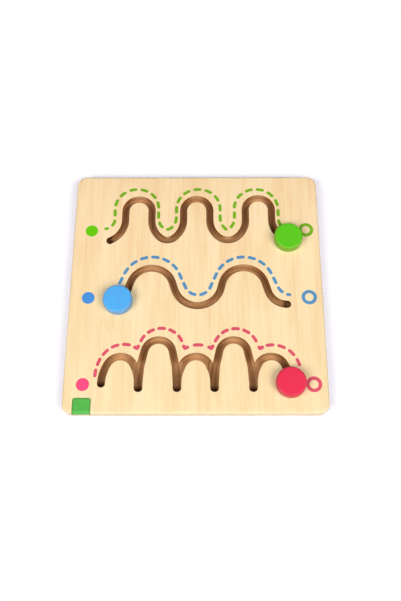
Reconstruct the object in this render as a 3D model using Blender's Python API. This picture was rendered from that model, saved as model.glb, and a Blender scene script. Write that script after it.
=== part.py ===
"""Tracking board: a square wooden board with three winding guide grooves, each holding a captive knob.

Three panels are glued face to face. The face panel has a narrow groove cut right through it for each
track, the channel panel has a wider channel along the same route, and the back panel closes both from
below. Each knob is screwed to a stem that stands in the groove, and a loose retainer disc on the stem
runs in the channel, so the knob slides along its track and spins but can't be pulled out.
Metres, +Z up. The origin is at the middle of the board's underside, with +Y to the far edge.
"""

import math

import bmesh
import bpy

MM = 0.001

# Board
BOARD_SIDE = 300.0 * MM
BOARD_CORNER = 12.0 * MM
FACE_THICKNESS = 5.6 * MM
BACK_THICKNESS = 2.8 * MM
GLUE_LINE = 0.3 * MM
TOP_EDGE_ROUND = 3.0 * MM
BOTTOM_EDGE_ROUND = 1.0 * MM
CUTTER_OVERRUN = 2.0 * MM

# Grooves and what runs in them
GROOVE_WIDTH = 9.0 * MM
STEM_CLEARANCE = 0.4 * MM
RETAINER_LIP = 4.5 * MM
RETAINER_CLEARANCE = 0.75 * MM
RETAINER_THICKNESS = 2.3 * MM
RUNNING_GAP = 0.4 * MM
SEAT_GAP = 0.3 * MM

# Washer and screw under each retainer disc
WASHER_LIP = 1.9 * MM
WASHER_THICKNESS = 0.8 * MM
SCREW_RADIUS = 1.5 * MM
SCREW_HEAD_LIP = 1.4 * MM
SCREW_HEAD_HEIGHT = 1.6 * MM
SCREW_HEAD_ROUND = 0.6 * MM
SCREW_POINT = 2.0 * MM
SCREW_BITE = 6.0 * MM
HEAD_CLEARANCE = 0.8 * MM

# Knobs
KNOB_RADIUS = 17.1 * MM
KNOB_THICKNESS = 11.5 * MM
KNOB_TOP_ROUND = 2.2 * MM
KNOB_BOTTOM_ROUND = 0.8 * MM

# Facets, and how near two places count as one
ARC_STEP = math.radians(9.0)
KNOB_SIDES = 48
SLEEVE_SIDES = 40
SMALL_SIDES = 24
ROUND_STEPS = 4
SMALL_ROUND_STEPS = 2
SHARP_ANGLE = math.radians(35.0)
SAME_POINT = 0.3 * MM

# Routes: places and bends are shares of half the board's side, measured from the board's middle

# Green track: three narrow humps between flared valleys, with a hook at each end
GREEN_HUMP_X_SHARES = (-0.476, 0.0, 0.508)
GREEN_HUMP_Y_SHARES = (0.675, 0.679, 0.686)
GREEN_HUMP_RADIUS_SHARE = 0.108
GREEN_LEG_Y_SHARE = 0.590
GREEN_VALLEY_Y_SHARE = 0.413
GREEN_FLARE = math.radians(50.0)
GREEN_LEFT_HOOK_RADIUS_SHARE = 0.200
GREEN_LEFT_HOOK = math.radians(66.0)
GREEN_RIGHT_HOOK_RADIUS_SHARE = 0.183
GREEN_RIGHT_HOOK = math.radians(71.0)

# Blue track: two broad humps round a broad valley, with a hook at each end
BLUE_MIDDLE_X_SHARE = 0.010
BLUE_HUMP_X_SHARE = 0.366
BLUE_HUMP_Y_SHARE = -0.007
BLUE_LEFT_HUMP_RADIUS_SHARE = 0.173
BLUE_RIGHT_HUMP_RADIUS_SHARE = 0.176
BLUE_VALLEY_Y_SHARE = 0.038
BLUE_VALLEY_RADIUS_SHARE = 0.190
BLUE_HOOK_X_SHARE = 0.704
BLUE_HOOK_Y_SHARE = 0.011
BLUE_HOOK_RADIUS_SHARE = 0.153
BLUE_REST = math.radians(33.0)

# Red track: arches side by side, small and tall in turn, that meet in short stubs
RED_ARCHES = 5
RED_END_X_SHARE = 0.712
RED_BASE_Y_SHARE = -0.773
RED_SMALL_HEIGHT_SHARE = 0.210
RED_TALL_HEIGHT_SHARE = 0.341
RED_STUB_SHARE = 0.034
RED_STUB_SPREAD_SHARE = 0.005
RED_SMALL_TOP_SHARE = 0.810
RED_TALL_TOP_SHARE = 0.765

# What the values above give
HALF_SIDE = BOARD_SIDE / 2
STEM_RADIUS = GROOVE_WIDTH / 2 - STEM_CLEARANCE
RETAINER_RADIUS = GROOVE_WIDTH / 2 + RETAINER_LIP
CHANNEL_WIDTH = 2 * (RETAINER_RADIUS + RETAINER_CLEARANCE)
WASHER_RADIUS = STEM_RADIUS + WASHER_LIP
SCREW_HEAD_RADIUS = SCREW_RADIUS + SCREW_HEAD_LIP

# Heights, from the floor of the channels up
CHANNEL_FLOOR_Z = BACK_THICKNESS
SCREW_HEAD_Z = CHANNEL_FLOOR_Z + HEAD_CLEARANCE
WASHER_Z = SCREW_HEAD_Z + SCREW_HEAD_HEIGHT + SEAT_GAP
STEM_Z = WASHER_Z + WASHER_THICKNESS + SEAT_GAP
RETAINER_Z = WASHER_Z + WASHER_THICKNESS + RUNNING_GAP
CHANNEL_TOP_Z = RETAINER_Z + RETAINER_THICKNESS + RUNNING_GAP
BOARD_TOP_Z = CHANNEL_TOP_Z + FACE_THICKNESS
KNOB_Z = BOARD_TOP_Z + RUNNING_GAP


def clear_scene():
    for obj in list(bpy.data.objects):
        bpy.data.objects.remove(obj, do_unlink=True)


def material(name, colour, roughness, metallic=0.0):
    made = bpy.data.materials.new(name)
    made.use_nodes = True
    shader = made.node_tree.nodes["Principled BSDF"]
    shader.inputs["Base Color"].default_value = (*colour, 1.0)
    shader.inputs["Roughness"].default_value = roughness
    shader.inputs["Metallic"].default_value = metallic
    made.diffuse_color = (*colour, 1.0)
    return made


def new_object(name, shape, look=None):
    """An object from a bmesh, with its faces pointing out and its round stretches shaded smooth."""
    bmesh.ops.recalc_face_normals(shape, faces=shape.faces)
    mesh = bpy.data.meshes.new(name)
    shape.to_mesh(mesh)
    shape.free()
    if look:
        mesh.materials.append(look)
    smooth(mesh)
    made = bpy.data.objects.new(name, mesh)
    bpy.context.scene.collection.objects.link(made)
    return made


def smooth(mesh):
    mesh.shade_smooth()
    mesh.set_sharp_from_angle(angle=SHARP_ANGLE)


# Routes

def polar(centre, radius, angle):
    return (centre[0] + radius * math.cos(angle), centre[1] + radius * math.sin(angle))


def arc_stations(centre, radius, start, sweep):
    """Points along an arc with the heading at each. A positive sweep turns left."""
    steps = max(1, math.ceil(abs(sweep) / ARC_STEP))
    quarter = math.copysign(math.pi / 2, sweep)
    angles = [start + sweep * step / steps for step in range(steps + 1)]
    return [(*polar(centre, radius, angle), angle + quarter) for angle in angles]


def joined(*stretches):
    """Stretches of stations end to end. Where one starts on the end of the last, the point is kept once."""
    route = []
    for station in (station for stretch in stretches for station in stretch):
        if route and math.dist(route[-1][:2], station[:2]) < SAME_POINT:
            continue
        route.append(station)
    return route


def hump_stations(centre, radius):
    return arc_stations(centre, radius, math.pi, -math.pi)


def valley_stations(left, right, top, depth, flare):
    """A valley from one upright leg to the next: two wide flares round a tighter bottom."""
    half = (right - left) / 2
    rise = 1 - math.sin(flare)
    run = 1 - math.cos(flare)
    tight = (half * math.sin(flare) - depth * run) / (math.cos(flare) * math.sin(flare) - rise * run)
    wide = (depth - tight * rise) / math.sin(flare)
    first = (left + wide, top)
    bottom = polar(first, wide - tight, math.pi + flare)
    return joined(
        arc_stations(first, wide, math.pi, flare),
        arc_stations(bottom, tight, math.pi + flare, math.pi - 2 * flare),
        arc_stations((right - wide, top), wide, -flare, flare),
    )


def green_hooks():
    """Centre and radius of the two end bends of the green track, left and right."""
    left_radius = GREEN_LEFT_HOOK_RADIUS_SHARE * HALF_SIDE
    right_radius = GREEN_RIGHT_HOOK_RADIUS_SHARE * HALF_SIDE
    left_leg = (GREEN_HUMP_X_SHARES[0] - GREEN_HUMP_RADIUS_SHARE) * HALF_SIDE
    right_leg = (GREEN_HUMP_X_SHARES[-1] + GREEN_HUMP_RADIUS_SHARE) * HALF_SIDE
    leg_y = GREEN_LEG_Y_SHARE * HALF_SIDE
    return ((left_leg - left_radius, leg_y), left_radius), ((right_leg + right_radius, leg_y), right_radius)


def green_route():
    radius = GREEN_HUMP_RADIUS_SHARE * HALF_SIDE
    leg_y = GREEN_LEG_Y_SHARE * HALF_SIDE
    depth = leg_y - GREEN_VALLEY_Y_SHARE * HALF_SIDE
    humps = [
        (x_share * HALF_SIDE, y_share * HALF_SIDE)
        for x_share, y_share in zip(GREEN_HUMP_X_SHARES, GREEN_HUMP_Y_SHARES)
    ]
    left_hook, right_hook = green_hooks()
    route = arc_stations(*left_hook, -GREEN_LEFT_HOOK, GREEN_LEFT_HOOK)
    for hump, following in zip(humps, humps[1:]):
        route = joined(
            route,
            hump_stations(hump, radius),
            valley_stations(hump[0] + radius, following[0] - radius, leg_y, depth, GREEN_FLARE),
        )
    return joined(
        route,
        hump_stations(humps[-1], radius),
        arc_stations(*right_hook, math.pi, GREEN_RIGHT_HOOK),
    )


def blue_circles():
    """Centre, radius and turn of each bend of the blue track, from left to right. A turn of 1 is left."""
    middle = BLUE_MIDDLE_X_SHARE * HALF_SIDE
    hump = BLUE_HUMP_X_SHARE * HALF_SIDE
    hook = BLUE_HOOK_X_SHARE * HALF_SIDE
    hump_y = BLUE_HUMP_Y_SHARE * HALF_SIDE
    hook_y = BLUE_HOOK_Y_SHARE * HALF_SIDE
    hook_radius = BLUE_HOOK_RADIUS_SHARE * HALF_SIDE
    valley = ((middle, BLUE_VALLEY_Y_SHARE * HALF_SIDE), BLUE_VALLEY_RADIUS_SHARE * HALF_SIDE, 1)
    return [
        ((middle - hook, hook_y), hook_radius, 1),
        ((middle - hump, hump_y), BLUE_LEFT_HUMP_RADIUS_SHARE * HALF_SIDE, -1),
        valley,
        ((middle + hump, hump_y), BLUE_RIGHT_HUMP_RADIUS_SHARE * HALF_SIDE, -1),
        ((middle + hook, hook_y), hook_radius, 1),
    ]


def crossing_heading(first, second):
    """Heading of the straight run that leaves one bend and enters the next, which turns the other way."""
    (centre, radius, turn), (following, following_radius, _) = first, second
    across = radius + following_radius
    along = math.sqrt(math.dist(centre, following) ** 2 - across ** 2)
    bearing = math.atan2(following[1] - centre[1], following[0] - centre[0])
    return bearing + turn * math.atan2(across, along)


def blue_route():
    """The bends joined by straight runs. Both ends of the track lie straight below a hook's centre."""
    circles = blue_circles()
    crossings = [crossing_heading(*pair) for pair in zip(circles, circles[1:])]
    headings = [0.0, *crossings, 0.0]
    stretches = []
    for (centre, radius, turn), entry, leave in zip(circles, headings, headings[1:]):
        stretches.append(arc_stations(centre, radius, entry - turn * math.pi / 2, leave - entry))
    return joined(*stretches)


def arch_pitch():
    """Width of one arch. The two end legs stand in from their pitch by the spread, as at every stub."""
    return 2 * (RED_END_X_SHARE + RED_STUB_SPREAD_SHARE) * HALF_SIDE / RED_ARCHES


def arch_sizes(small):
    """Half width, height, top radius and leg radius of an arch, and the angle that each leg turns."""
    half = arch_pitch() / 2 - (RED_STUB_SPREAD_SHARE * HALF_SIDE if small else 0)
    height = (RED_SMALL_HEIGHT_SHARE if small else RED_TALL_HEIGHT_SHARE) * HALF_SIDE
    top = (RED_SMALL_TOP_SHARE if small else RED_TALL_TOP_SHARE) * half
    leg = (half ** 2 - top ** 2 + (height - top) ** 2) / (2 * (half - top))
    lean = math.acos((leg - half) / (leg - top))
    return half, height, top, leg, lean


def arch_route(middle, small, left_stub, right_stub):
    """One arch from leg to leg. A stub carries a leg straight on below the arch."""
    half, height, top, leg, lean = arch_sizes(small)
    base = RED_BASE_Y_SHARE * HALF_SIDE
    stub = base - RED_STUB_SHARE * HALF_SIDE
    left_end = [(middle - half, stub, math.pi / 2)] if left_stub else []
    right_end = [(middle + half, stub, -math.pi / 2)] if right_stub else []
    return joined(
        left_end,
        arc_stations((middle - half + leg, base), leg, math.pi, -lean),
        arc_stations((middle, base + height - top), top, math.pi - lean, 2 * lean - math.pi),
        arc_stations((middle + half - leg, base), leg, lean, -lean),
        right_end,
    )


def red_routes():
    """The arches one by one, because neighbours share their stubs."""
    last = RED_ARCHES // 2
    return [
        arch_route(place * arch_pitch(), place % 2 == 0, place > -last, place < last)
        for place in range(-last, last + 1)
    ]


def all_routes():
    return [green_route(), blue_route(), *red_routes()]


# Panels

def rounded_square(side, corner):
    inner = side / 2 - corner
    corners = [(inner, inner), (-inner, inner), (-inner, -inner), (inner, -inner)]
    outline = []
    for number, centre in enumerate(corners):
        outline += [
            station[:2]
            for station in arc_stations(centre, corner, number * math.pi / 2, math.pi / 2)
        ]
    return outline


def extruded(outline, low, high):
    """A bmesh of an outline drawn up from one height to another."""
    shape = bmesh.new()
    bottom = shape.faces.new([shape.verts.new((x, y, low)) for x, y in outline])
    drawn = bmesh.ops.extrude_face_region(shape, geom=[bottom])["geom"]
    top = [item for item in drawn if isinstance(item, bmesh.types.BMVert)]
    bmesh.ops.translate(shape, vec=(0, 0, high - low), verts=top)
    return shape


def round_edge(shape, end, radius, steps):
    """Rounds the outline's edges at one end of a drawn shape: its top with max, its underside with min."""
    height = end(vert.co.z for vert in shape.verts)
    edges = [edge for edge in shape.edges if all(vert.co.z == height for vert in edge.verts)]
    bmesh.ops.bevel(
        shape, geom=edges, offset=radius, offset_type="OFFSET", segments=steps,
        profile=0.5, affect="EDGES",
    )


def groove_outline(route, width):
    """The edge of a groove of one width along a route, with round ends."""
    half = width / 2
    left = [polar((x, y), half, heading + math.pi / 2) for x, y, heading in route]
    right = [polar((x, y), half, heading - math.pi / 2) for x, y, heading in route]
    (start_x, start_y, start_heading), (end_x, end_y, end_heading) = route[0], route[-1]
    end_cap = arc_stations((end_x, end_y), half, end_heading + math.pi / 2, -math.pi)[1:-1]
    start_cap = arc_stations((start_x, start_y), half, start_heading - math.pi / 2, -math.pi)[1:-1]
    return (
        left
        + [station[:2] for station in end_cap]
        + right[::-1]
        + [station[:2] for station in start_cap]
    )


def cut_grooves(panel, width, low, high):
    """Cuts every track through a panel, and keeps the cut shape as the panel's own mesh."""
    cutters = []
    for number, route in enumerate(all_routes()):
        outline = groove_outline(route, width)
        shape = extruded(outline, low - CUTTER_OVERRUN, high + CUTTER_OVERRUN)
        cutter = new_object(f"{panel.name}_cutter_{number}", shape)
        cutters.append(cutter)
        cut = panel.modifiers.new(cutter.name, "BOOLEAN")
        cut.operation = "DIFFERENCE"
        cut.solver = "EXACT"
        cut.object = cutter
    bpy.context.view_layer.update()
    evaluated = panel.evaluated_get(bpy.context.evaluated_depsgraph_get())
    plain = panel.data
    panel.data = bpy.data.meshes.new_from_object(evaluated)
    panel.modifiers.clear()
    bpy.data.meshes.remove(plain)
    for cutter in cutters:
        bpy.data.objects.remove(cutter, do_unlink=True)
    panel.data.name = panel.name
    smooth(panel.data)


def face_panel(look):
    shape = extruded(rounded_square(BOARD_SIDE, BOARD_CORNER), CHANNEL_TOP_Z, BOARD_TOP_Z)
    round_edge(shape, max, TOP_EDGE_ROUND, ROUND_STEPS)
    panel = new_object("face_panel", shape, look)
    cut_grooves(panel, GROOVE_WIDTH, CHANNEL_TOP_Z, BOARD_TOP_Z)


def channel_panel(look):
    low = CHANNEL_FLOOR_Z + GLUE_LINE
    high = CHANNEL_TOP_Z - GLUE_LINE
    shape = extruded(rounded_square(BOARD_SIDE, BOARD_CORNER), low, high)
    panel = new_object("channel_panel", shape, look)
    cut_grooves(panel, CHANNEL_WIDTH, low, high)


def back_panel(look):
    shape = extruded(rounded_square(BOARD_SIDE, BOARD_CORNER), 0, CHANNEL_FLOOR_Z)
    round_edge(shape, min, BOTTOM_EDGE_ROUND, SMALL_ROUND_STEPS)
    new_object("back_panel", shape, look)


# Sliders

def corner_profile(radius, end_z, middle_z, steps):
    """Profile points round a turned piece's outer corner, from its flat end to its side."""
    rounding = end_z - middle_z
    points = []
    for step in range(steps + 1):
        angle = math.pi / 2 * (1 - step / steps)
        inset = abs(rounding) * (1 - math.cos(angle))
        points.append((radius - inset, middle_z + rounding * math.sin(angle)))
    return points


def turned(name, profile, sides, look, closed=False):
    """A solid turned about its own Z axis from (radius, height) points. A closed profile leaves a bore."""
    shape = bmesh.new()
    rings = []
    for radius, height in profile:
        if radius == 0:
            rings.append([shape.verts.new((0, 0, height))] * sides)
            continue
        angles = [2 * math.pi * side / sides for side in range(sides)]
        rings.append([shape.verts.new((*polar((0, 0), radius, angle), height)) for angle in angles])
    pairs = list(zip(rings, rings[1:]))
    if closed:
        pairs.append((rings[-1], rings[0]))
    for ring, following in pairs:
        for side in range(sides):
            ahead = (side + 1) % sides
            corners = [ring[side], ring[ahead], following[ahead], following[side]]
            shape.faces.new(list(dict.fromkeys(corners)))
    return new_object(name, shape, look)


def sleeve(name, bore, radius, thickness, sides, look):
    profile = [(bore, 0), (bore, thickness), (radius, thickness), (radius, 0)]
    return turned(name, profile, sides, look, closed=True)


def knob(name, look):
    bore = SCREW_RADIUS + SEAT_GAP
    bore_top = SCREW_BITE + SEAT_GAP
    profile = [(0, bore_top), (bore, bore_top), (bore, 0)]
    profile += corner_profile(KNOB_RADIUS, 0, KNOB_BOTTOM_ROUND, SMALL_ROUND_STEPS)
    top_corner = corner_profile(KNOB_RADIUS, KNOB_THICKNESS, KNOB_THICKNESS - KNOB_TOP_ROUND, ROUND_STEPS)
    profile += [*top_corner[::-1], (0, KNOB_THICKNESS)]
    return turned(name, profile, KNOB_SIDES, look)


def screw(name, look):
    """A round-headed wood screw, head down: the shank stands on the head and ends in a point."""
    length = KNOB_Z + SCREW_BITE - SCREW_HEAD_Z
    profile = [(0, 0)]
    profile += corner_profile(SCREW_HEAD_RADIUS, 0, SCREW_HEAD_ROUND, SMALL_ROUND_STEPS)
    profile += [
        (SCREW_HEAD_RADIUS, SCREW_HEAD_HEIGHT),
        (SCREW_RADIUS, SCREW_HEAD_HEIGHT),
        (SCREW_RADIUS, length - SCREW_POINT),
        (0, length),
    ]
    return turned(name, profile, SMALL_SIDES, look)


def axis_empty(name, x, y):
    empty = bpy.data.objects.new(name, None)
    empty.empty_display_size = KNOB_RADIUS
    empty.location = (x, y, 0)
    bpy.context.scene.collection.objects.link(empty)
    return empty


def slider(colour_name, travel_centre, rest, paint, looks):
    """A knob with all that holds it in its groove. It travels round the centre of the bend it rests in."""
    travel = axis_empty(f"{colour_name}_travel_axis", *travel_centre)
    bolt_bore = SCREW_RADIUS + SEAT_GAP
    stem_length = KNOB_Z - SEAT_GAP - STEM_Z
    stem = sleeve(f"{colour_name}_stem", bolt_bore, STEM_RADIUS, stem_length, SLEEVE_SIDES, looks["stem"])
    retainer = sleeve(
        f"{colour_name}_retainer_disc", STEM_RADIUS + SEAT_GAP, RETAINER_RADIUS, RETAINER_THICKNESS,
        SLEEVE_SIDES, looks["retainer"],
    )
    washer = sleeve(
        f"{colour_name}_washer", bolt_bore, WASHER_RADIUS, WASHER_THICKNESS, SMALL_SIDES, looks["steel"]
    )
    heights = {
        knob(f"{colour_name}_knob", paint): KNOB_Z,
        stem: STEM_Z,
        retainer: RETAINER_Z,
        washer: WASHER_Z,
        screw(f"{colour_name}_screw", looks["steel"]): SCREW_HEAD_Z,
    }
    for piece, height in heights.items():
        piece.parent = travel
        piece.location = (rest[0] - travel_centre[0], rest[1] - travel_centre[1], height)


def sliders(looks):
    """The green and red knobs rest at the right ends of their tracks, the blue one on its left hook."""
    _, (green_centre, green_radius) = green_hooks()
    green_rest = polar(green_centre, green_radius, math.pi + GREEN_RIGHT_HOOK)
    slider("green", green_centre, green_rest, looks["green"], looks)

    blue_centre, blue_radius, _ = blue_circles()[0]
    blue_rest = polar(blue_centre, blue_radius, BLUE_REST - math.pi / 2)
    slider("blue", blue_centre, blue_rest, looks["blue"], looks)

    _, _, _, leg, _ = arch_sizes(small=True)
    red_end = RED_END_X_SHARE * HALF_SIDE
    red_base = RED_BASE_Y_SHARE * HALF_SIDE
    slider("red", (red_end - leg, red_base), (red_end, red_base), looks["red"], looks)


def main():
    clear_scene()
    plywood = material("light_plywood", (0.95, 0.74, 0.45), 0.5)
    looks = {
        "green": material("green_paint", (0.10, 0.65, 0.02), 0.35),
        "blue": material("blue_paint", (0.10, 0.43, 1.0), 0.35),
        "red": material("red_paint", (0.90, 0.03, 0.10), 0.35),
        "stem": material("beech_stem", (0.70, 0.50, 0.30), 0.55),
        "retainer": material("beech_retainer", (0.62, 0.43, 0.25), 0.6),
        "steel": material("zinc_plated_steel", (0.65, 0.65, 0.66), 0.35, metallic=1.0),
    }
    face_panel(plywood)
    channel_panel(material("brown_channel_board", (0.30, 0.14, 0.06), 0.7))
    back_panel(material("brown_back_board", (0.32, 0.15, 0.07), 0.7))
    sliders(looks)


main()
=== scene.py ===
"""Looks of the tracking board: woods, paints and steel, the printed face and the stained tracks.

The board lies flat on z = 0 with its far edge towards +Y. Its sizes are written in millimetres, and turned
to metres where a mesh or a shader is made.
"""

import math

import bmesh
import bpy
from mathutils import Matrix, Vector


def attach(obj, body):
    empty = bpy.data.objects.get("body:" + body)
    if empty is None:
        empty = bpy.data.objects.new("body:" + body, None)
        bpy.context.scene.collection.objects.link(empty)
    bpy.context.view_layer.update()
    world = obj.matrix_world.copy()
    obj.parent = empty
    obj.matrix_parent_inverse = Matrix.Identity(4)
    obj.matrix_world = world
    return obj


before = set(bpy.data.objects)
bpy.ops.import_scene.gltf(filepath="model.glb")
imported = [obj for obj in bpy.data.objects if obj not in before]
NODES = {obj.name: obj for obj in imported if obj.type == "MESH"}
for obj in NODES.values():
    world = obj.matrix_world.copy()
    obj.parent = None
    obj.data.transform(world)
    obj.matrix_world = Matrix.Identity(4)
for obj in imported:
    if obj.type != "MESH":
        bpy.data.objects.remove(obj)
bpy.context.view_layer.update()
MM = 0.001
COLOURS = ("green", "blue", "red")

# Camera
PICTURE_HEIGHT = 601
SENSOR = 36.0
FOCAL_PIXELS = 659.7
OPTICAL_AXIS_RIGHT = 8.1
CAMERA_PLACE = (0.0147, -0.2816, 0.7450)
CAMERA_ELEVATION = math.radians(70.04)
CAMERA_YAW = math.radians(0.034)
CAMERA_ROLL = math.radians(-0.105)

# Board
HALF_SIDE = 150.0
BOARD_CORNER = 12.0
TOP_EDGE_ROUND = 3.0
TRACK_FLOOR_Z = 2.8
BOARD_TOP_Z = 15.0
PLY_THICKNESS = 1.4

# Print and stain
INK_SINK = 0.03
INK_RISE = 0.02
STAIN_SINK = 0.02
STAIN_RISE = 0.04
CHANNEL_HALF_WIDTH = 10.0
# How far the painted shade at a track's ends reaches, in millimetres.
END_SHADE_CORE = 4.5
END_SHADE_LENGTH = 6.0
STAIN_STEP = 2.0
DASH_WIDTH = 3.9
DASH_LENGTH = 10.4
TICK_WIDTH = 4.3
DOT_RADIUS = 7.5
RING_RADIUS = 9.1
RING_BAND = 4.1
LABEL_LEFT = -138.0
LABEL_RIGHT = -117.0
LABEL_FAR = -132.0
LABEL_CORNER = 3.0
LABEL_BORDER = 1.6
LABEL_BORDER_FADE = 0.64
LABEL_DROP = 2.2

# Outlines
BEND_STEP = math.radians(4.0)
CAP_STEPS = 8
CIRCLE_STEPS = 48
SAME_POINT = 0.2
CUT_MARGIN = 0.3

# Tracks: the routes that part.py cuts
GREEN_HUMPS = ((-71.4, 101.25), (0.0, 101.85), (76.2, 102.9))
GREEN_HUMP_RADIUS = 16.2
GREEN_LEG_Y = 88.5
GREEN_VALLEY_Y = 61.95
GREEN_LEFT_HOOK_RADIUS = 30.0
GREEN_LEFT_HOOK = 66.0
GREEN_RIGHT_HOOK_RADIUS = 27.45
GREEN_RIGHT_HOOK = 71.0
VALLEY_FLARE = 50.0
BLUE_MIDDLE = 1.5
BLUE_HOOK_OFFSET = 105.6
BLUE_HOOK_Y = 1.65
BLUE_HOOK_RADIUS = 22.95
BLUE_HUMP_OFFSET = 54.9
BLUE_HUMP_Y = -1.05
BLUE_LEFT_HUMP_RADIUS = 25.95
BLUE_RIGHT_HUMP_RADIUS = 26.4
BLUE_VALLEY_Y = 5.7
BLUE_VALLEY_RADIUS = 28.5
RED_LAST_ARCH = 2
RED_BASE_Y = -115.95
RED_PITCH = 43.02
RED_SPREAD = 0.75
RED_STUB = 5.1
RED_SMALL_HEIGHT = 31.5
RED_TALL_HEIGHT = 51.15
RED_SMALL_TOP_SHARE = 0.810
RED_TALL_TOP_SHARE = 0.765

# Studio, in metres and watts
FLOOR_REACH = 6.0
FLOOR_DROP = 0.0002
FLOOR_WHITE_RUN = (-0.165, 0.17)
FLOOR_WHITES = ((0.764, 0.758, 0.71, 1.0), (0.90, 0.893, 0.83, 1.0))
FLOOR_GLOW_RUN = (0.13, 0.155)
FLOOR_GLOWS = ((0.17, 0.165, 0.28, 1.0), (0.26, 0.255, 0.35, 1.0))
FLOOR_UNSEEN = (0.82, 0.82, 0.82, 1.0)
SHADOW_REACH = (0.165, 0.185)
ROOM_LIGHT = 0.06
SIDE_SOFTBOX_PLACE = (0.68, -0.59, 1.05)
SIDE_SOFTBOX_SIZE = (0.8, 0.8)
SIDE_SOFTBOX_POWER = 13.8
FRONT_SOFTBOX_PLACE = (0.0, -1.3, 0.55)
FRONT_SOFTBOX_SIZE = (1.2, 0.5)
FRONT_SOFTBOX_POWER = 0.8
WHITE = (1.0, 1.0, 1.0, 1.0)


def seen(red, green, blue):
    """A colour as it looks on a screen, 0 to 255, in the linear values that shaders take."""
    levels = [channel / 255 for channel in (red, green, blue)]
    linear = [((level + 0.055) / 1.055) ** 2.4 if level > 0.04045 else level / 12.92 for level in levels]
    return (*linear, 1.0)


# Shader nodes

def feed(node, inputs):
    """Sets a node's inputs. Each is given a value or the socket that feeds it."""
    for name, given in inputs.items():
        if isinstance(given, bpy.types.NodeSocket):
            node.id_data.links.new(given, node.inputs[name])
        else:
            node.inputs[name].default_value = given
    return node


def put(tree, kind, inputs, **settings):
    """Adds a node with its inputs and settings."""
    node = tree.nodes.new(kind)
    for name, value in settings.items():
        setattr(node, name, value)
    return feed(node, inputs)


def maths(tree, operation, first, second=0.0, third=0.0):
    return put(tree, "ShaderNodeMath", {0: first, 1: second, 2: third}, operation=operation).outputs[0]


def vector_maths(tree, operation, first, second):
    """The operation's outputs, of which it fills either Vector or Value."""
    return put(tree, "ShaderNodeVectorMath", {0: first, 1: second}, operation=operation).outputs


def split_up(tree, vector):
    """The X, Y and Z of a vector."""
    return put(tree, "ShaderNodeSeparateXYZ", {0: vector}).outputs


def mixed(tree, factor, first, second):
    """A colour between two, by a factor from 0 to 1."""
    node = put(tree, "ShaderNodeMix", {0: factor, 6: first, 7: second}, data_type="RGBA")
    return node.outputs[2]


def ranged(tree, value, low, high, to_low=0.0, to_high=1.0):
    """A value's run from low to high, turned smoothly into a run between two others."""
    node = put(
        tree, "ShaderNodeMapRange",
        {"Value": value, "From Min": low, "From Max": high, "To Min": to_low, "To Max": to_high},
        interpolation_type="SMOOTHSTEP",
    )
    return node.outputs[0]


def speckle(tree, place, stretch, detail=2.0, distortion=0.0):
    """Noise whose blotches are 1 / stretch metres along each axis."""
    scaled = vector_maths(tree, "MULTIPLY", place, stretch)["Vector"]
    noise = put(
        tree, "ShaderNodeTexNoise",
        {"Vector": scaled, "Scale": 1.0, "Detail": detail, "Distortion": distortion},
    )
    return noise.outputs["Fac"]


def new_group(name, inputs, outputs):
    """An empty node group with named sockets. Returns it with its inner input and output sockets."""
    tree = bpy.data.node_groups.new(name, "ShaderNodeTree")
    for label, kind in inputs.items():
        tree.interface.new_socket(label, in_out="INPUT", socket_type=f"NodeSocket{kind}")
    for label, kind in outputs.items():
        tree.interface.new_socket(label, in_out="OUTPUT", socket_type=f"NodeSocket{kind}")
    return tree, tree.nodes.new("NodeGroupInput").outputs, tree.nodes.new("NodeGroupOutput").inputs


def wood_grain_group():
    """Veneer that runs along Y: broad figure, finer streaks, and short dark pores."""
    tree, given, result = new_group(
        "wood_grain",
        {"Place": "Vector", "Pale": "Color", "Dark": "Color", "Figure": "Float", "Streaks": "Float",
         "Pores": "Float"},
        {"Colour": "Color", "Height": "Float", "Pore Mask": "Float"},
    )
    place = given["Place"]
    figure = ranged(tree, speckle(tree, place, (58.0, 11.0, 58.0), 3.0, 0.4), 0.36, 0.68)
    streaks = ranged(tree, speckle(tree, place, (330.0, 13.0, 330.0), 3.0, 0.3), 0.38, 0.72)
    pores = ranged(tree, speckle(tree, place, (2100.0, 170.0, 2100.0), 1.0), 0.60, 0.74)
    patchy = ranged(tree, speckle(tree, place, (40.0, 14.0, 40.0), 1.0), 0.40, 0.65, 0.35, 1.0)
    spots = maths(tree, "MULTIPLY", pores, patchy)
    broad = maths(tree, "MULTIPLY", figure, given["Figure"])
    fine = maths(tree, "MULTIPLY_ADD", streaks, given["Streaks"], broad)
    total = maths(tree, "MULTIPLY_ADD", spots, given["Pores"], fine)
    raised = maths(tree, "SUBTRACT", maths(tree, "MULTIPLY", streaks, 0.4), spots)
    tree.links.new(mixed(tree, total, given["Pale"], given["Dark"]), result["Colour"])
    tree.links.new(raised, result["Height"])
    tree.links.new(spots, result["Pore Mask"])
    return tree


def ply_edge_group():
    """The cut edge of plywood: stacked veneers, pale long grain and darker end grain in turn."""
    tree, given, result = new_group(
        "ply_edge",
        {"Place": "Vector", "Ply": "Float", "Pale": "Color", "Dark": "Color"},
        {"Colour": "Color"},
    )
    waver = maths(tree, "MULTIPLY", speckle(tree, given["Place"], (25.0, 25.0, 0.0), 1.0), 0.0006)
    height = maths(tree, "ADD", split_up(tree, given["Place"])["Z"], waver)
    turns = maths(tree, "MULTIPLY", maths(tree, "DIVIDE", height, given["Ply"]), math.pi)
    stripe = ranged(tree, maths(tree, "SINE", turns), -0.35, 0.35)
    ends = speckle(tree, given["Place"], (900.0, 900.0, 700.0))
    fleck = ranged(tree, ends, 0.40, 0.65, 0.55, 1.0)
    shade = maths(tree, "MULTIPLY", stripe, fleck)
    tree.links.new(mixed(tree, shade, given["Pale"], given["Dark"]), result["Colour"])
    return tree


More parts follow.
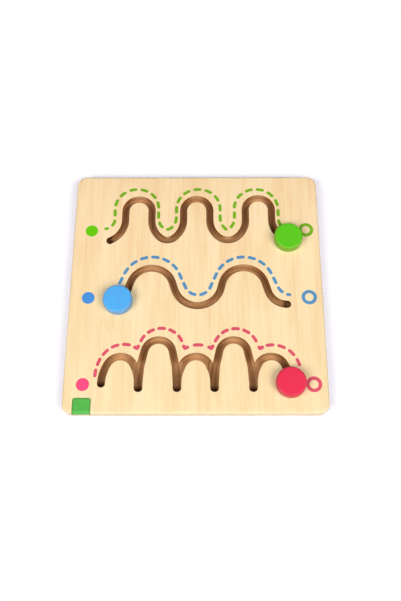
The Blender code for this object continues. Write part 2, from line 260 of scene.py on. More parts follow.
def brushed_coat_group():
    """A brushed or rolled coat of paint or lacquer: faint mottling, and a gloss that isn't quite even."""
    tree, given, result = new_group(
        "brushed_coat",
        {"Place": "Vector", "Coat": "Color", "Thin": "Color", "Mottling": "Float", "Roughness": "Float"},
        {"Colour": "Color", "Roughness": "Float", "Height": "Float"},
    )
    blotches = ranged(tree, speckle(tree, given["Place"], (140.0, 90.0, 140.0), 3.0, 0.4), 0.35, 0.7)
    drag = speckle(tree, given["Place"], (1500.0, 120.0, 1500.0))
    thin = maths(tree, "MULTIPLY", blotches, given["Mottling"])
    tree.links.new(mixed(tree, thin, given["Coat"], given["Thin"]), result["Colour"])
    raised = maths(tree, "ADD", drag, maths(tree, "MULTIPLY", blotches, 0.5))
    tree.links.new(maths(tree, "MULTIPLY_ADD", drag, 0.12, given["Roughness"]), result["Roughness"])
    tree.links.new(raised, result["Height"])
    return tree


GRAIN = wood_grain_group()
PLY = ply_edge_group()
COAT = brushed_coat_group()


def placed(tree, group, **inputs):
    """Places a node group. Underscores in input names stand for spaces."""
    node = tree.nodes.new("ShaderNodeGroup")
    node.node_tree = group
    return feed(node, {name.replace("_", " "): given for name, given in inputs.items()})


def surface(name, **plain):
    """A material with its Principled shader. Plain inputs are the same all over the surface."""
    made = bpy.data.materials.new(name)
    made.use_nodes = True
    tree = made.node_tree
    shader = tree.nodes["Principled BSDF"]
    for label, value in plain.items():
        shader.inputs[label.replace("_", " ")].default_value = value
    return made, tree, shader


def object_place(tree):
    return put(tree, "ShaderNodeTexCoord", {}).outputs["Object"]


def roughen(tree, shader, pattern, strength, depth):
    """Gives a surface the relief that its wood or coat group works out."""
    height = pattern.outputs["Height"]
    bump = put(tree, "ShaderNodeBump", {"Height": height, "Strength": strength, "Distance": depth})
    tree.links.new(bump.outputs["Normal"], shader.inputs["Normal"])


def dull_pores(tree, shader, wood, roughness, more):
    """Gives wood its roughness, with more of it in the pores."""
    pores = maths(tree, "MULTIPLY", wood.outputs["Pore Mask"], more)
    tree.links.new(maths(tree, "ADD", pores, roughness), shader.inputs["Roughness"])


def facing(tree, axis):
    """How squarely the surface faces along an axis, either way."""
    normal = put(tree, "ShaderNodeTexCoord", {}).outputs["Normal"]
    return maths(tree, "ABSOLUTE", split_up(tree, normal)[axis])


def upright_mask(tree, flattest=0.8, steepest=0.2):
    """1 where the surface stands upright, 0 where it lies flat."""
    return ranged(tree, facing(tree, "Z"), steepest, flattest, 1.0, 0.0)


def side_shade_mask(tree):
    """1 where the surface faces left or right, 0 where it faces near or far. It marks the groove walls
    that get painted shade.
    """
    return ranged(tree, facing(tree, "X"), 0.1, 0.65)


def reach_from_middle(tree, place):
    """The larger of the distances from the board's two centre lines."""
    split = split_up(tree, place)
    return maths(tree, "MAXIMUM", *[maths(tree, "ABSOLUTE", split[axis]) for axis in "XY"])


def rim_mask(tree, place):
    """1 on the board's outer edge, 0 further in."""
    reach = reach_from_middle(tree, place)
    return ranged(tree, reach, (HALF_SIDE - BOARD_CORNER / 2) * MM, (HALF_SIDE - TOP_EDGE_ROUND) * MM)


def end_shade_mask(tree, place, ends):
    """1 close to a track's end, 0 further off: where painted shade darkens the groove walls."""
    flat = vector_maths(tree, "MULTIPLY", place, (1.0, 1.0, 0.0))["Vector"]
    nearest = 1.0
    for x, y in ends:
        away = vector_maths(tree, "DISTANCE", flat, (x * MM, y * MM, 0.0))["Value"]
        nearest = maths(tree, "MINIMUM", away, nearest)
    return ranged(tree, nearest, END_SHADE_CORE * MM, (END_SHADE_CORE + END_SHADE_LENGTH) * MM, 1.0, 0.0)


def ply_edge(tree, place):
    return placed(
        tree, PLY, Place=place, Ply=PLY_THICKNESS * MM,
        Pale=seen(232, 213, 186), Dark=seen(220, 197, 162),
    )


def light_plywood(ends):
    """Lacquered face veneer, layered outer edges, and brown bare walls in the grooves. Walls that face
    left or right are painted darker than those that face near or far, and walls near a track's ends darker
    still: both are painted shade."""
    made, tree, shader = surface("light_plywood", Coat_Roughness=0.3)
    place = object_place(tree)
    upright = upright_mask(tree)
    rim = rim_mask(tree, place)
    # The veneer is painted paler towards the far edge: painted light that makes up for the lamps' weaker
    # light there.
    far_lightening = ranged(tree, split_up(tree, place)["Y"], -HALF_SIDE * MM, HALF_SIDE * MM)
    pale = mixed(tree, far_lightening, seen(240, 217, 173), seen(255, 228, 184))
    dark = mixed(tree, far_lightening, seen(224, 190, 136), seen(243, 197, 140))
    grain = placed(
        tree, GRAIN, Place=place, Pale=pale, Dark=dark, Figure=0.36, Streaks=0.30, Pores=0.35,
    )
    edge = ply_edge(tree, place)
    layers = ranged(tree, speckle(tree, place, (60.0, 60.0, 900.0)), 0.35, 0.7)
    # Groove walls: the paler 'across' colour goes on walls that face near or far, and the darker 'along'
    # colour, painted shade, on walls that face left or right.
    across = mixed(tree, layers, seen(222, 178, 132), seen(204, 156, 110))
    along = mixed(tree, layers, seen(182, 110, 44), seen(154, 85, 26))
    side_shaded_wall = mixed(tree, side_shade_mask(tree), across, along)
    # Near a track's end the walls are painted near-black: painted shade in the deep ends.
    wall = mixed(tree, end_shade_mask(tree, place, ends), side_shaded_wall, seen(92, 46, 8))
    walled = mixed(tree, upright, grain.outputs["Colour"], wall)
    rounded = maths(tree, "MULTIPLY", rim, upright_mask(tree, 0.98))
    tree.links.new(mixed(tree, rounded, walled, edge.outputs["Colour"]), shader.inputs["Base Color"])
    gloss = {"Roughness": (0.42, 0.67), "Specular IOR Level": (0.3, 0.05), "Coat Weight": (0.1, 0.0)}
    for label, (on_face, on_wall) in gloss.items():
        tree.links.new(ranged(tree, upright, 0.0, 1.0, on_face, on_wall), shader.inputs[label])
    roughen(tree, shader, grain, 0.25, 0.0001)
    return made


def brown_board(name, figure):
    """Stained board. Only its outer edges are left pale. More figure darkens the stain."""
    made, tree, shader = surface(name)
    place = object_place(tree)
    upright = upright_mask(tree)
    outside = maths(tree, "MULTIPLY", rim_mask(tree, place), upright)
    stain = placed(
        tree, GRAIN, Place=place, Pale=seen(164, 112, 68), Dark=seen(120, 76, 42),
        Figure=figure, Streaks=0.45, Pores=0.35,
    )
    edge = ply_edge(tree, place)
    colour = mixed(tree, outside, stain.outputs["Colour"], edge.outputs["Colour"])
    tree.links.new(colour, shader.inputs["Base Color"])
    dull_pores(tree, shader, stain, 0.62, 0.15)
    roughen(tree, shader, stain, 0.3, 0.0001)
    return made


def track_stain():
    """Brown floor of a track. Its fibres follow the track, and near each end it is painted darker, as
    painted shade in the track's deep ends."""
    made, tree, shader = surface("track_stain", Specular_IOR_Level=0.05)
    split = split_up(tree, put(tree, "ShaderNodeUVMap", {}, uv_map="route").outputs["UV"])
    along = put(tree, "ShaderNodeCombineXYZ", {"X": split["Y"], "Y": split["X"]})
    # This attribute darkens the floor near a track's ends: painted shade.
    end_shade = put(tree, "ShaderNodeAttribute", {}, attribute_name="end_shade").outputs["Fac"]
    fibres = placed(
        tree, GRAIN, Place=along.outputs[0], Pale=seen(219, 166, 115), Dark=seen(151, 99, 54),
        Figure=0.3, Streaks=0.7, Pores=0.3,
    )
    end_shaded = mixed(tree, end_shade, fibres.outputs["Colour"], seen(92, 48, 10))
    tree.links.new(end_shaded, shader.inputs["Base Color"])
    dull_pores(tree, shader, fibres, 0.55, 0.2)
    roughen(tree, shader, fibres, 0.4, 0.00015)
    return made


def knob_paint(colour, coat, thin, side):
    """Satin paint on a turned knob. Its turned side and rounded edges are painted in a darker, greyer
    colour, as painted shade.
    """
    made, tree, shader = surface(
        f"{colour}_paint", Specular_IOR_Level=0.25, Coat_Weight=0.1, Coat_Roughness=0.25,
    )
    place = object_place(tree)
    paint = placed(tree, COAT, Place=place, Coat=coat, Thin=thin, Mottling=0.5, Roughness=0.34)
    # The side colour on the turned side and rounded edges is painted shade.
    paint_with_side_shade = mixed(tree, upright_mask(tree, 0.99, 0.75), paint.outputs["Colour"], side)
    tree.links.new(paint_with_side_shade, shader.inputs["Base Color"])
    tree.links.new(paint.outputs["Roughness"], shader.inputs["Roughness"])
    roughen(tree, shader, paint, 0.12, 0.0001)
    return made


def print_ink(colour, ink, thin):
    """Screen-printed ink with the veneer's grain showing faintly through."""
    made, tree, shader = surface(f"{colour}_ink", Specular_IOR_Level=0.2)
    place = object_place(tree)
    grain = placed(
        tree, GRAIN, Place=place, Pale=ink, Dark=thin, Figure=0.3, Streaks=0.3, Pores=0.6,
    )
    tree.links.new(grain.outputs["Colour"], shader.inputs["Base Color"])
    dull_pores(tree, shader, grain, 0.45, 0.2)
    roughen(tree, shader, grain, 0.15, 0.00005)
    return made


def label_film():
    """Green film with a duller border."""
    made, tree, shader = surface(
        "green_film", Specular_IOR_Level=0.3, Coat_Weight=0.1, Coat_Roughness=0.15,
    )
    place = object_place(tree)
    film = placed(
        tree, COAT, Place=place, Coat=seen(76, 172, 66), Thin=seen(64, 152, 56),
        Mottling=0.6, Roughness=0.3,
    )
    split = split_up(tree, place)
    middle, reach = (LABEL_LEFT + LABEL_RIGHT) / 2 * MM, (LABEL_RIGHT - LABEL_LEFT) / 2 * MM
    inner, outer = LABEL_BORDER * MM, (LABEL_BORDER - LABEL_BORDER_FADE) * MM
    sideways = maths(tree, "ABSOLUTE", maths(tree, "SUBTRACT", split["X"], middle))
    beside = ranged(tree, sideways, reach - inner, reach - outer)
    beyond = ranged(tree, split["Y"], LABEL_FAR * MM - inner, LABEL_FAR * MM - outer)
    border = maths(tree, "MAXIMUM", beside, beyond)
    colour = mixed(tree, border, film.outputs["Colour"], seen(70, 124, 50))
    tree.links.new(colour, shader.inputs["Base Color"])
    tree.links.new(film.outputs["Roughness"], shader.inputs["Roughness"])
    roughen(tree, shader, film, 0.08, 0.00005)
    return made


def turned_beech(name, pale, dark):
    made, tree, shader = surface(name)
    wood = placed(
        tree, GRAIN, Place=object_place(tree), Pale=pale, Dark=dark, Figure=0.4, Streaks=0.4, Pores=0.5,
    )
    tree.links.new(wood.outputs["Colour"], shader.inputs["Base Color"])
    dull_pores(tree, shader, wood, 0.5, 0.15)
    roughen(tree, shader, wood, 0.3, 0.0001)
    return made


def zinc_steel():
    made, tree, shader = surface("zinc_steel", Metallic=1.0)
    plate = placed(
        tree, COAT, Place=object_place(tree), Coat=seen(204, 205, 208), Thin=seen(176, 176, 172),
        Mottling=0.7, Roughness=0.28,
    )
    tree.links.new(plate.outputs["Colour"], shader.inputs["Base Color"])
    tree.links.new(plate.outputs["Roughness"], shader.inputs["Roughness"])
    roughen(tree, shader, plate, 0.15, 0.00005)
    return made


# Routes, as points in millimetres

def polar(centre, radius, angle):
    return (centre[0] + radius * math.cos(angle), centre[1] + radius * math.sin(angle))


def bend(centre, radius, start, end):
    """Points along an arc between two bearings in degrees."""
    first, last = math.radians(start), math.radians(end)
    steps = max(2, math.ceil(abs(last - first) / BEND_STEP))
    return [polar(centre, radius, first + (last - first) * step / steps) for step in range(steps + 1)]


def chained(*stretches):
    """Stretches end to end, with shared points kept once."""
    route = []
    for point in (point for stretch in stretches for point in stretch):
        if not route or math.dist(route[-1], point) > SAME_POINT:
            route.append(point)
    return route


def valley(left, right, top, bottom):
    """Down from one upright leg and up to the next: two wide flares round a tighter bottom."""
    lean = math.radians(VALLEY_FLARE)
    half, depth = (right - left) / 2, top - bottom
    rise, run = 1 - math.sin(lean), 1 - math.cos(lean)
    tight = (half * math.sin(lean) - depth * run) / (math.cos(lean) * math.sin(lean) - rise * run)
    wide = (depth - tight * rise) / math.sin(lean)
    middle = polar((left + wide, top), wide - tight, math.pi + lean)
    return chained(
        bend((left + wide, top), wide, 180, 180 + VALLEY_FLARE),
        bend(middle, tight, 180 + VALLEY_FLARE, 360 - VALLEY_FLARE),
        bend((right - wide, top), wide, -VALLEY_FLARE, 0),
    )


def belt(circles):
    """A line laid round circles in turn: (centre, radius, turn), where a turn of 1 is left, -1 right."""
    headings = [0.0]
    for (centre, radius, turn), (following, following_radius, _) in zip(circles, circles[1:]):
        across = radius + following_radius
        along = math.sqrt(math.dist(centre, following) ** 2 - across ** 2)
        bearing = math.atan2(following[1] - centre[1], following[0] - centre[0])
        headings.append(math.degrees(bearing + turn * math.atan2(across, along)))
    headings.append(0.0)
    return chained(*[
        bend(centre, radius, entry - turn * 90, leave - turn * 90)
        for (centre, radius, turn), entry, leave in zip(circles, headings, headings[1:])
    ])


def green_track():
    radius = GREEN_HUMP_RADIUS
    left_hook = (GREEN_HUMPS[0][0] - radius - GREEN_LEFT_HOOK_RADIUS, GREEN_LEG_Y)
    right_hook = (GREEN_HUMPS[-1][0] + radius + GREEN_RIGHT_HOOK_RADIUS, GREEN_LEG_Y)
    route = bend(left_hook, GREEN_LEFT_HOOK_RADIUS, -GREEN_LEFT_HOOK, 0)
    for hump, following in zip(GREEN_HUMPS, GREEN_HUMPS[1:]):
        route = chained(
            route,
            bend(hump, radius, 180, 0),
            valley(hump[0] + radius, following[0] - radius, GREEN_LEG_Y, GREEN_VALLEY_Y),
        )
    return chained(
        route,
        bend(GREEN_HUMPS[-1], radius, 180, 0),
        bend(right_hook, GREEN_RIGHT_HOOK_RADIUS, 180, 180 + GREEN_RIGHT_HOOK),
    )


def blue_track():
    return belt([
        ((BLUE_MIDDLE - BLUE_HOOK_OFFSET, BLUE_HOOK_Y), BLUE_HOOK_RADIUS, 1),
        ((BLUE_MIDDLE - BLUE_HUMP_OFFSET, BLUE_HUMP_Y), BLUE_LEFT_HUMP_RADIUS, -1),
        ((BLUE_MIDDLE, BLUE_VALLEY_Y), BLUE_VALLEY_RADIUS, 1),
        ((BLUE_MIDDLE + BLUE_HUMP_OFFSET, BLUE_HUMP_Y), BLUE_RIGHT_HUMP_RADIUS, -1),
        ((BLUE_MIDDLE + BLUE_HOOK_OFFSET, BLUE_HOOK_Y), BLUE_HOOK_RADIUS, 1),
    ])


def red_arch(place):
    """One of the five arches of the red track, counted from the middle."""
    small = place % 2 == 0
    middle = place * RED_PITCH
    half = RED_PITCH / 2 - (RED_SPREAD if small else 0)
    height = RED_SMALL_HEIGHT if small else RED_TALL_HEIGHT
    top = half * (RED_SMALL_TOP_SHARE if small else RED_TALL_TOP_SHARE)
    leg = (half ** 2 - top ** 2 + (height - top) ** 2) / (2 * (half - top))
    lean = math.degrees(math.acos((leg - half) / (leg - top)))
    stub = RED_BASE_Y - RED_STUB
    return chained(
        [(middle - half, stub)] if place > -RED_LAST_ARCH else [],
        bend((middle - half + leg, RED_BASE_Y), leg, 180, 180 - lean),
        bend((middle, RED_BASE_Y + height - top), top, 180 - lean, lean),
        bend((middle + half - leg, RED_BASE_Y), leg, lean, 0),
        [(middle + half, stub)] if place < RED_LAST_ARCH else [],
    )


# Flat shapes

def directions(route):
    """The heading at each point of a route."""
    found = []
    for number in range(len(route)):
        back, ahead = route[max(number - 1, 0)], route[min(number + 1, len(route) - 1)]
        found.append(math.atan2(ahead[1] - back[1], ahead[0] - back[0]))
    return found


def travelled(route):
    lengths = [0.0]
    for point, following in zip(route, route[1:]):
        lengths.append(lengths[-1] + math.dist(point, following))
    return lengths


def point_at(route, lengths, distance):
    for number, reached in enumerate(lengths[1:]):
        if distance <= reached:
            share = (distance - lengths[number]) / (reached - lengths[number])
            (x, y), (next_x, next_y) = route[number], route[number + 1]
            return (x + (next_x - x) * share, y + (next_y - y) * share)
    return route[-1]


def cut_out(route, start, end):
    """The stretch of a route between two distances along it."""
    lengths = travelled(route)
    low, high = start + CUT_MARGIN, end - CUT_MARGIN
    inner = [point for point, reached in zip(route, lengths) if low < reached < high]
    return [point_at(route, lengths, start), *inner, point_at(route, lengths, end)]


def evenly(route, step):
    """The route again, as points about a step apart."""
    lengths = travelled(route)
    count = round(lengths[-1] / step)
    return [point_at(route, lengths, lengths[-1] * number / count) for number in range(count + 1)]


def stroke(route, width):
    """The outline of a round-ended stroke along a route."""
    half = width / 2
    headings = directions(route)
    quarter = math.pi / 2
    left = [polar(point, half, heading + quarter) for point, heading in zip(route, headings)]
    right = [polar(point, half, heading - quarter) for point, heading in zip(route, headings)]
    turns = [step * math.pi / CAP_STEPS for step in range(1, CAP_STEPS)]
    end = [polar(route[-1], half, headings[-1] + quarter - turn) for turn in turns]
    start = [polar(route[0], half, headings[0] - quarter - turn) for turn in turns]
    return left + end + right[::-1] + start


def tick(first, corner, last, width):
    """The outline of two short round-ended strokes that meet in a corner."""
    half = width / 2
    into = math.atan2(corner[1] - first[1], corner[0] - first[0])
    out = math.atan2(last[1] - corner[1], last[0] - corner[0])
    quarter = math.pi / 2
    inside = polar(corner, half / math.cos((out - into) / 2), (into + out) / 2 + quarter)
    turns = [step / CAP_STEPS for step in range(CAP_STEPS + 1)]
    outside = [polar(corner, half, into - quarter + (out - into) * turn) for turn in turns]
    start = [polar(first, half, into - quarter - math.pi * turn) for turn in turns]
    end = [polar(last, half, out + quarter - math.pi * turn) for turn in turns]
    return start + [inside] + end + outside[::-1]


def dashes(route, first, pitch):
    """Outlines of the dashes along a route. The first may start before the route does."""
    total = travelled(route)[-1]
    outlines = []
    start = first
    while start < total - DASH_WIDTH:
        low, high = max(start, 0.0), min(start + DASH_LENGTH, total)
        if high - low > DASH_WIDTH:
            dash = cut_out(route, low + DASH_WIDTH / 2, high - DASH_WIDTH / 2)
            outlines.append(stroke(dash, DASH_WIDTH))
        start += pitch
    return outlines


def spaced_dashes(route, count):
    """Outlines of a number of dashes along a route. The first and last lie at its ends."""
    return dashes(route, first=0.0, pitch=(travelled(route)[-1] - DASH_LENGTH) / (count - 1))


def circle(centre, radius):
    return [polar(centre, radius, 2 * math.pi * step / CIRCLE_STEPS) for step in range(CIRCLE_STEPS)]


# Printed lines

def green_line():
    humps, radius = ((-74.1, 104.7), (1.95, 104.7), (73.5, 104.7)), 27.0
    leg_y, valley_ys = 92.0, (76.3, 75.6)
    left_hook, right_hook, hook_radius = (-113.25, 89.5), (113.3, 89.5), 12.5
    route = bend(left_hook, hook_radius, -90, 0)
    for hump, following, valley_y in zip(humps, humps[1:], valley_ys):
        route = chained(
            route,
            bend(hump, radius, 180, 0),
            valley(hump[0] + radius, following[0] - radius, leg_y, valley_y),
        )
    return chained(route, bend(humps[-1], radius, 180, 0), bend(right_hook, hook_radius, 180, 270))


def blue_line():
    middle = 1.9
    return belt([
        ((middle - 110.5, 7.0), 16.5, 1),
        ((middle - 55.1, 3.6), 35.7, -1),
        ((middle, 6.6), 16.0, 1),
        ((middle + 54.9, 3.6), 35.7, -1),
        ((middle + 110.3, 7.0), 16.5, 1),
    ])


def red_marks():
    """Dashes round the five arches, with a small heart-shaped tick between each two."""
    ticks = [
        ((-70.2, -73.5), (-67.7, -74.7), (-66.3, -72.4)),
        ((-14.1, -72.4), (-12.5, -74.7), (-10.0, -73.5)),
        ((15.0, -73.5), (17.7, -74.8), (19.3, -72.4)),
        ((72.5, -73.8), (73.5, -75.1), (76.2, -73.7)),
    ]
    left_arch = chained(
        bend((-72.15, -106.95), 42.0, 182.4, 139.3),
        bend((-82.85, -97.75), 27.8, 139.3, 73.3),
    )
    return [
        *spaced_dashes(left_arch, 5),
        *spaced_dashes(bend((-40.0, -76.5), 25.8, 159.5, 20.5), 5),
        stroke(bend((2.5, -101.8), 31.1, 97.9, 82.3), DASH_WIDTH),
        *spaced_dashes(bend((45.7, -77.0), 25.8, 159.4, 20.6), 5),
        *spaced_dashes(bend((87.6, -101.9), 31.1, 104.3, 10.4), 4),
        *[tick(*points, TICK_WIDTH) for points in ticks],
    ]


# Pieces

def add_object(name, data):
    added = bpy.data.objects.new(name, data)
    bpy.context.scene.collection.objects.link(added)
    return added


def add_mesh(name, shape, material):
    """Turns a bmesh into an object of the scene."""
    mesh = bpy.data.meshes.new(name)
    shape.to_mesh(mesh)
    shape.free()
    mesh.materials.append(material)
    return add_object(name, mesh)


def new_piece(name, shape, material):
    bmesh.ops.recalc_face_normals(shape, faces=shape.faces)
    piece = add_mesh(name, shape, material)
    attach(piece, "board")


def drawn_up(shape, outline, low, high):
    """Adds a thin closed slab of an outline to a bmesh."""
    bottom = [shape.verts.new((x * MM, y * MM, low * MM)) for x, y in outline]
    top = [shape.verts.new((x * MM, y * MM, high * MM)) for x, y in outline]
    shape.faces.new(bottom)
    shape.faces.new(top)
    close_sides(shape, bottom, top)


def close_sides(shape, low_ring, high_ring):
    for number in range(len(low_ring)):
        ahead = (number + 1) % len(low_ring)
        shape.faces.new((low_ring[number], low_ring[ahead], high_ring[ahead], high_ring[number]))


def printed(name, outlines, ink):
    shape = bmesh.new()
    for outline in outlines:
        drawn_up(shape, outline, BOARD_TOP_Z - INK_SINK, BOARD_TOP_Z + INK_RISE)
    new_piece(name, shape, ink)


def printed_ring(name, centre, ink):
    low, high = BOARD_TOP_Z - INK_SINK, BOARD_TOP_Z + INK_RISE
    inside = RING_RADIUS - RING_BAND
    profile = [(inside, low), (RING_RADIUS, low), (RING_RADIUS, high), (inside, high)]
    shape = bmesh.new()
    rings = [
        [shape.verts.new((x * MM, y * MM, z * MM)) for x, y in circle(centre, radius)]
        for radius, z in profile
    ]
    for ring, following in zip(rings, rings[1:] + rings[:1]):
        close_sides(shape, ring, following)
    new_piece(name, shape, ink)


def stained_floor(name, routes, stain):
    """A thin stained skin on the floor of a track's channel. The texture runs along the route. Where two
    routes share a stub, every second one lies a little higher."""
    shape = bmesh.new()
    along = shape.loops.layers.uv.new("route")
    end_shade = shape.verts.layers.float.new("end_shade")
    places = {}
    for number, route in enumerate(evenly(route, STAIN_STEP) for route in routes):
        low = TRACK_FLOOR_Z - STAIN_SINK
        high = TRACK_FLOOR_Z + STAIN_RISE * (1 + (number % 2) / 2)
        sections = []
        lengths = travelled(route)
        for point, heading, reached in zip(route, directions(route), lengths):
            near_end = min(reached, lengths[-1] - reached)
            section = []
            for side, z in ((1, low), (-1, low), (-1, high), (1, high)):
                x, y = polar(point, side * CHANNEL_HALF_WIDTH, heading + math.pi / 2)
                vert = shape.verts.new((x * MM, y * MM, z * MM))
                # Painted shade, strongest at the route's ends.
                vert[end_shade] = max(0.0, 1 - near_end / END_SHADE_LENGTH)
                places[vert] = (reached * MM, side * CHANNEL_HALF_WIDTH * MM + number)
                section.append(vert)
            sections.append(section)
        for section, following in zip(sections, sections[1:]):
            close_sides(shape, section, following)
        shape.faces.new(sections[0])
        shape.faces.new(sections[-1])
    for face in shape.faces:
        for loop in face.loops:
            loop[along].uv = places[loop.vert]
    new_piece(name, shape, stain)


def label_patch(film):
    """The blank label in the near left corner, bent over the board's rounded front edge."""
    thick = INK_SINK + INK_RISE
    front = HALF_SIDE - TOP_EDGE_ROUND
    profile = []
    for step in range(CAP_STEPS + 1):
        turn = math.pi / 2 * step / CAP_STEPS
        inset = LABEL_CORNER * (1 - math.sin(turn))
        profile.append((LABEL_FAR - LABEL_CORNER * (1 - math.cos(turn)), inset, 0.0))
    profile.append((-front, 0.0, 0.0))
    for step in range(1, CAP_STEPS + 1):
        profile.append((-front, 0.0, math.pi / 2 * step / CAP_STEPS))
    shape = bmesh.new()
    sections = []
    for y, inset, lean in profile:
        section = []
        left, right = LABEL_LEFT + inset, LABEL_RIGHT - inset
        for x, rise in ((left, 0.0), (right, 0.0), (right, thick), (left, thick)):
            radius = TOP_EDGE_ROUND + rise - INK_SINK
            height = BOARD_TOP_Z - TOP_EDGE_ROUND + radius * math.cos(lean)
            section.append(shape.verts.new((x * MM, (y - radius * math.sin(lean)) * MM, height * MM)))
        sections.append(section)
    drop = Vector((0.0, 0.0, LABEL_DROP * MM))
    sections.append([shape.verts.new(vert.co - drop) for vert in sections[-1]])
    for section, following in zip(sections, sections[1:]):
        close_sides(shape, section, following)
    shape.faces.new(sections[0])
    shape.faces.new(sections[-1])
    new_piece("corner_label", shape, film)


# Looks of the pieces

def dress_frame(routes):
    ends = {point for track in routes.values() for route in track for point in (route[0], route[-1])}
    plywood = light_plywood(sorted(ends))
    looks = {
        "face_panel": plywood,
        "channel_panel": brown_board("brown_channel_board", 0.5),
        "back_panel": brown_board("brown_back_board", 0.4),
    }
    # Each knob's third colour is painted shade for its turned side and rounded edges.
    paints = {
        "green": knob_paint("green", seen(86, 197, 17), seen(94, 188, 24), seen(116, 173, 28)),
        "blue": knob_paint("blue", seen(78, 170, 236), seen(84, 161, 225), seen(102, 159, 208)),
        "red": knob_paint("red", seen(222, 38, 73), seen(213, 44, 77), seen(192, 50, 64)),
    }
    beech = turned_beech("turned_beech", seen(222, 184, 136), seen(176, 130, 84))
    steel = zinc_steel()
    for colour in COLOURS:
        looks[f"{colour}_knob"] = paints[colour]
        looks[f"{colour}_stem"] = looks[f"{colour}_retainer_disc"] = beech
        looks[f"{colour}_washer"] = looks[f"{colour}_screw"] = steel
    for name, look in looks.items():
        for slot in NODES[name].material_slots:
            slot.material = look


def print_face():
    inks = {
        "green": print_ink("green", seen(122, 179, 30), seen(102, 157, 27)),
        "blue": print_ink("blue", seen(88, 145, 188), seen(74, 128, 170)),
        "red": print_ink("red", seen(214, 82, 104), seen(196, 70, 92)),
    }
    solid_inks = {
        "green": print_ink("green_solid", seen(104, 202, 0), seen(94, 188, 0)),
        "blue": print_ink("blue_solid", seen(72, 144, 217), seen(64, 134, 205)),
        "red": print_ink("red_solid", seen(243, 72, 122), seen(230, 66, 114)),
    }
    lines = {
        "green": dashes(green_line(), first=-4.5, pitch=14.2),
        "blue": dashes(blue_line(), first=-4.3, pitch=13.72),
        "red": red_marks(),
    }
    starts = {"green": (-128.2, 74.3), "blue": (-127.4, -13.0), "red": (-127.6, -116.9)}
    ends = {"green": (133.7, 75.5), "blue": (133.3, -12.4), "red": (133.2, -116.9)}
    for colour in COLOURS:
        printed(f"{colour}_dashes", lines[colour], inks[colour])
        printed(f"{colour}_start_dot", [circle(starts[colour], DOT_RADIUS)], solid_inks[colour])
        printed_ring(f"{colour}_end_ring", ends[colour], inks[colour])
    label_patch(label_film())


def stain_tracks(routes):
    stain = track_stain()
    for colour in COLOURS:
        stained_floor(f"{colour}_track_floor", routes[colour], stain)


# Stage

def add_camera():
    cos, sin = math.cos, math.sin
    back = Vector((
        sin(CAMERA_YAW) * cos(CAMERA_ELEVATION), -cos(CAMERA_YAW) * cos(CAMERA_ELEVATION),
        sin(CAMERA_ELEVATION),
    ))
    level = Vector((cos(CAMERA_YAW), sin(CAMERA_YAW), 0.0))
    above = back.cross(level)
    right = level * cos(CAMERA_ROLL) + above * sin(CAMERA_ROLL)
    up = above * cos(CAMERA_ROLL) - level * sin(CAMERA_ROLL)
    data = bpy.data.cameras.new("camera")
    data.sensor_width = SENSOR
    data.lens = FOCAL_PIXELS * SENSOR / PICTURE_HEIGHT
    data.shift_x = -OPTICAL_AXIS_RIGHT / PICTURE_HEIGHT
    camera = add_object("camera", data)
    turned = Matrix((right, up, back)).transposed().to_4x4()
    camera.matrix_world = Matrix.Translation(CAMERA_PLACE) @ turned
    bpy.context.scene.camera = camera


def seen_directly(tree):
    """1 for rays that come straight from the camera or by way of a gloss or glass."""
    path = put(tree, "ShaderNodeLightPath", {}).outputs
    glossy = maths(tree, "MAXIMUM", path["Is Camera Ray"], path["Is Glossy Ray"])
    return maths(tree, "MAXIMUM", glossy, path["Is Transmission Ray"])


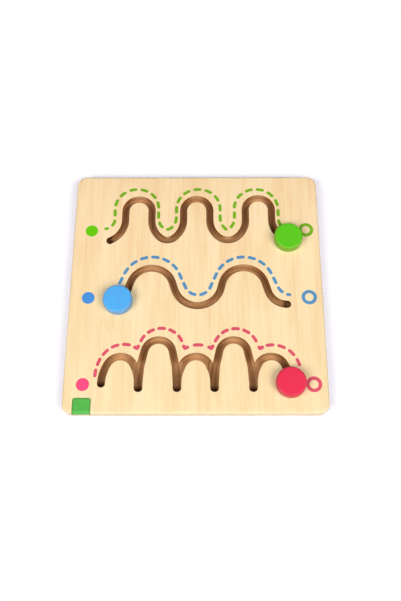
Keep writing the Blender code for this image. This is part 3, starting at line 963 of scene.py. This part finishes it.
def add_floor():
    """A white floor. Seen directly, part of its white is its own, and near the board the rest takes the
    board's shadow."""
    made = bpy.data.materials.new("white_floor")
    made.use_nodes = True
    tree = made.node_tree
    tree.nodes.clear()
    place = object_place(tree)
    lengthways = split_up(tree, place)["Y"]
    evened = mixed(tree, ranged(tree, lengthways, *FLOOR_WHITE_RUN), *FLOOR_WHITES)
    glow = mixed(tree, ranged(tree, lengthways, *FLOOR_GLOW_RUN), *FLOOR_GLOWS)
    own = put(tree, "ShaderNodeEmission", {"Color": glow, "Strength": 1.0})
    lit = put(tree, "ShaderNodeBsdfDiffuse", {"Color": evened})
    near = put(tree, "ShaderNodeAddShader", {0: own.outputs[0], 1: lit.outputs[0]})
    white = put(tree, "ShaderNodeEmission", {"Color": WHITE, "Strength": 1.0})
    away = ranged(tree, reach_from_middle(tree, place), *SHADOW_REACH)
    shown = put(tree, "ShaderNodeMixShader", {0: away, 1: near.outputs[0], 2: white.outputs[0]})
    plain = put(tree, "ShaderNodeBsdfDiffuse", {"Color": FLOOR_UNSEEN})
    both = put(
        tree, "ShaderNodeMixShader", {0: seen_directly(tree), 1: plain.outputs[0], 2: shown.outputs[0]},
    )
    put(tree, "ShaderNodeOutputMaterial", {"Surface": both.outputs[0]})
    shape = bmesh.new()
    signs = ((-1, -1), (1, -1), (1, 1), (-1, 1))
    corners = [(x * FLOOR_REACH, y * FLOOR_REACH, -FLOOR_DROP) for x, y in signs]
    shape.faces.new([shape.verts.new(corner) for corner in corners])
    floor = add_mesh("floor", shape, made)


def add_world():
    world = bpy.data.worlds.new("studio")
    bpy.context.scene.world = world
    world.use_nodes = True
    tree = world.node_tree
    tree.nodes.clear()
    room = put(tree, "ShaderNodeBackground", {"Color": WHITE, "Strength": ROOM_LIGHT})
    white = put(tree, "ShaderNodeBackground", {"Color": WHITE, "Strength": 1.0})
    both = put(
        tree, "ShaderNodeMixShader", {0: seen_directly(tree), 1: room.outputs[0], 2: white.outputs[0]},
    )
    put(tree, "ShaderNodeOutputWorld", {"Surface": both.outputs[0]})


def add_softbox(name, place, size, power):
    data = bpy.data.lights.new(name, "AREA")
    data.shape = "RECTANGLE"
    data.size, data.size_y = size
    data.energy = power
    lamp = add_object(name, data)
    lamp.location = place
    lamp.rotation_euler = (-Vector(place)).to_track_quat("-Z", "Y").to_euler()


def light_studio():
    add_world()
    right, near, height = SIDE_SOFTBOX_PLACE
    for name, x in (("left_softbox", -right), ("right_softbox", right)):
        add_softbox(name, (x, near, height), SIDE_SOFTBOX_SIZE, SIDE_SOFTBOX_POWER)
    add_softbox("front_softbox", FRONT_SOFTBOX_PLACE, FRONT_SOFTBOX_SIZE, FRONT_SOFTBOX_POWER)


track_routes = {
    "green": [green_track()],
    "blue": [blue_track()],
    "red": [red_arch(place) for place in range(-RED_LAST_ARCH, RED_LAST_ARCH + 1)],
}
add_camera()
dress_frame(track_routes)
print_face()
stain_tracks(track_routes)
add_floor()
light_studio()
bpy.context.scene.view_settings.view_transform = "Standard"
